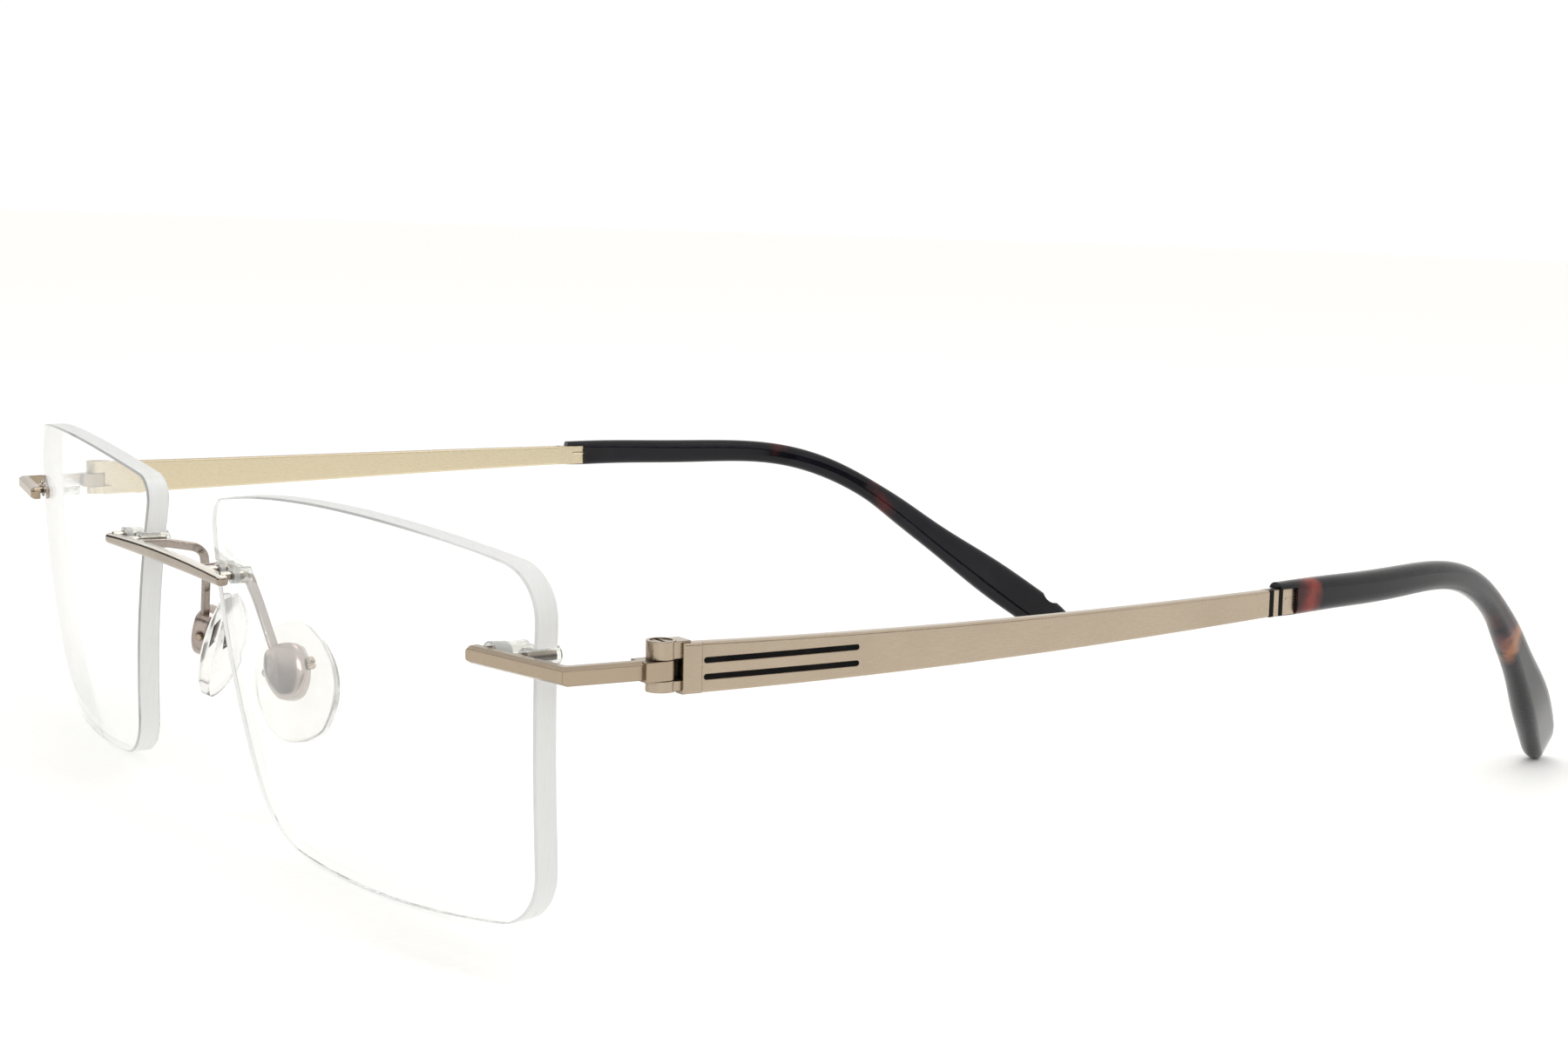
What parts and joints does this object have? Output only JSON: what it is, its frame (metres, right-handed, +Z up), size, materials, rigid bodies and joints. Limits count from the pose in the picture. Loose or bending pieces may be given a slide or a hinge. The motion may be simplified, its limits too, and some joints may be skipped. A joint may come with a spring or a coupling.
{
  "type": "rimless eyeglasses",
  "caption": "Rimless eyeglasses with rounded rectangular lenses, slim flat temples, bent-down tips and rocking nose pads; the temples fold.",
  "frame": {"origin": "centre of the bounding box's underside, on the table that the lenses' lower edges and the tips stand on", "axes": "+X to the wearer's left, +Y back along the open temples, +Z up"},
  "size_m": [0.1426, 0.154, 0.0341],
  "materials": {
    "lens": "clear polished, coated",
    "clear_sleeve": "clear moulded",
    "silicone": "soft clear silicone",
    "arm_metal": "polished rose-grey plate",
    "screw_metal": "turned, plated",
    "champagne_metal": "satin champagne plate",
    "black_enamel": "gloss enamel fill",
    "tortoise_acetate": "polished, dark smoke with red mottling"
  },
  "bodies": {
    "front": {"bridge_bar": "champagne_metal", "lens_left": "lens", "bridge_sleeve_left": "clear_sleeve", "endpiece_sleeve_left": "clear_sleeve", "pad_arm_left": "arm_metal", "pad_box_left": "arm_metal", "pad_screw_left": "screw_metal", "endpiece_left": "champagne_metal", "lens_right": "lens", "bridge_sleeve_right": "clear_sleeve", "endpiece_sleeve_right": "clear_sleeve", "pad_arm_right": "arm_metal", "pad_box_right": "arm_metal", "pad_screw_right": "screw_metal", "endpiece_right": "champagne_metal"},
    "temple_left": {"temple_left": "champagne_metal", "hinge_screw_left": "screw_metal", "groove_inlays_left": "black_enamel", "end_bands_left": "black_enamel", "temple_tip_left": "tortoise_acetate"},
    "temple_right": {"temple_right": "champagne_metal", "hinge_screw_right": "screw_metal", "groove_inlays_right": "black_enamel", "end_bands_right": "black_enamel", "temple_tip_right": "tortoise_acetate"},
    "pad_left": {"nose_pad_left": "silicone"},
    "pad_right": {"nose_pad_right": "silicone"}
  },
  "joints": [
    {"name": "fold_left", "type": "hinge", "parent": "front", "child": "temple_left", "pos_m": [0.06905, -0.06096, 0.02513], "axis": [0, -0.0178, 0.9998], "range_deg": [0, 80]},
    {"name": "fold_right", "type": "hinge", "parent": "front", "child": "temple_right", "pos_m": [-0.06905, -0.06096, 0.02513], "axis": [0, 0.0178, -0.9998], "range_deg": [0, 66]},
    {"name": "pad_rock_left", "type": "hinge", "parent": "front", "child": "pad_left", "pos_m": [0.01161, -0.06722, 0.01546], "axis": [0.5869, 0.7668, 0.2598], "range_deg": [-6, 6]},
    {"name": "pad_rock_right", "type": "hinge", "parent": "front", "child": "pad_right", "pos_m": [-0.01161, -0.06722, 0.01546], "axis": [-0.5869, 0.7668, 0.2598], "range_deg": [-6, 6]}
  ]
}
